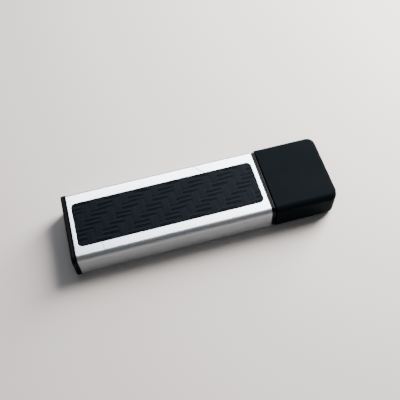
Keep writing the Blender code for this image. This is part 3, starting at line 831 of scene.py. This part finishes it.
def grained(name, color, roughness, metallic, ior, grain):  # an even tone, broken up by a fine noise
    material, tree, shader, place = newMaterial(name, color, roughness, metallic, ior)
    noise = addNode(tree, "TexNoise", {"Vector": place, "Scale": perMetre(grain), "Detail": 3.0})
    rough = addNode(tree, "MapRange", {"Value": noise.outputs["Fac"], "To Min": roughness - 0.1,
                                       "To Max": roughness + 0.1})
    bump = addNode(tree, "Bump", {"Height": noise.outputs["Fac"], "Strength": 0.3, "Distance": 0.01 * mm})
    tree.links.new(rough.outputs[0], shader.inputs["Roughness"])
    tree.links.new(bump.outputs[0], shader.inputs["Normal"])
    return material


def finishInside(plastic):
    look = insideLook
    capacitors = [f"capacitor_{number}" for number in range(1, 7)]
    resistors = [f"resistor_{number}" for number in range(1, 5)]
    materials = {
        "carrier_lower": plastic, "carrier_upper": plastic,
        "circuit_board": solderMask(),
        "flash_chip": mouldedEpoxy("mouldedEpoxyWide", "flash_chip", (0.8, 0.0)),
        "controller_chip": mouldedEpoxy("mouldedEpoxySquare", "controller_chip", (1.0, 1.0)),
        "crystal": grained("stampedNickelSilver", look["can"], 0.3, 1.0, None, 0.3),
        "inlay_adhesive": grained("acrylicAdhesive", look["adhesive"], 0.35, 0.0, 1.47, 1.2),
    }
    materials.update(dict.fromkeys(capacitors, tinnedEnds("firedCeramic", look["ceramic"], capacitors, 0.45)))
    materials.update(dict.fromkeys(resistors, tinnedEnds("glazedFilm", look["resistor"], resistors, 0.3)))
    for node, material in materials.items():
        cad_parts[node].material_slots[0].material = material
    print("inside done")


# studio: pale matte table, one large soft light from behind on the right, pale surroundings

studioLook = {
    "table": "#EDE7E4", "tableSize": 2.4, "surroundings": "#E8ECF0", "surroundingsStrength": 0.14,
}
lightsLook = (  # name, compass turn and height in degrees, distance and size in mm, power, colour
    ("backPanel", 12, 41.2, 600, (400, 480), 6.78, "#F2F7FF"),
    ("sideWindow", 59, 34, 260, (120, 270), 2.8, "#FFFBF7"),
)
cameraLook = {
    "focalLength": 53.95, "sensor": 36.0, "turn": 13.06, "tilt": 59.01, "roll": -2.46, "distance": 150.7,
    "aim": (0.53, 0.93, 4.0),  # mm in the frame
}


def makeTable():
    look = studioLook
    bm = bmesh.new()
    bmesh.ops.create_grid(bm, x_segments=8, y_segments=8, size=look["tableSize"] / 2)
    material, tree, shader, place = newMaterial("matteLaminate", look["table"], 0.55, 0.0, 1.5)
    grain = addNode(tree, "TexNoise", {"Vector": place, "Scale": perMetre(1.4), "Detail": 2.0})
    bump = addNode(tree, "Bump", {"Height": grain.outputs["Fac"], "Strength": 0.15, "Distance": 0.02 * mm})
    tree.links.new(bump.outputs[0], shader.inputs["Normal"])
    table = looseObject("table", bm)
    table.data.materials.append(material)


def makeLights():
    for name, turn, height, distance, size, power, color in lightsLook:
        light = bpy.data.lights.new(name, "AREA")
        light.shape = "RECTANGLE"
        light.size, light.size_y = size[0] * mm, size[1] * mm
        light.energy = power
        light.color = linear(color)[:3]
        lamp = bpy.data.objects.new(name, light)
        turn, height = math.radians(turn), math.radians(height)
        towards = Vector((math.sin(turn) * math.cos(height), math.cos(turn) * math.cos(height),
                          math.sin(height)))
        lamp.location = towards * distance * mm
        lamp.rotation_euler = (-towards).to_track_quat("-Z", "Y").to_euler()
        lamp.visible_diffuse = name != "backPanel"  # this one is there for the metal to mirror
        bpy.context.scene.collection.objects.link(lamp)
    world = bpy.data.worlds.new("paleRoom")
    world.use_nodes = True
    background = world.node_tree.nodes["Background"]
    background.inputs["Color"].default_value = linear(studioLook["surroundings"])
    background.inputs["Strength"].default_value = studioLook["surroundingsStrength"]
    bpy.context.scene.world = world


def makeCamera():
    look = cameraLook
    lens = bpy.data.cameras.new("camera")
    lens.lens = look["focalLength"]
    lens.sensor_width = look["sensor"]
    lens.clip_start = 0.001
    camera = bpy.data.objects.new("camera", lens)
    turned = (Matrix.Rotation(math.radians(-look["turn"]), 4, "Z")
              @ Matrix.Rotation(math.radians(90 - look["tilt"]), 4, "X")
              @ Matrix.Rotation(math.radians(look["roll"]), 4, "Z"))
    back = turned.to_3x3() @ Vector((0, 0, look["distance"]))
    camera.matrix_world = Matrix.Translation((Vector(look["aim"]) + back) * mm) @ turned
    bpy.context.scene.collection.objects.link(camera)
    bpy.context.scene.camera = camera


makeCamera()
makeTable()
makeLights()
makeSleeve()
makeInlay()
makeTailPlug()
makeCollar()
makeCap()
makePlugShell()
makePlugTongue()
makeContacts()
carrierPlastic = glassFilledAbs()
makeLiner(carrierPlastic)
finishInside(carrierPlastic)
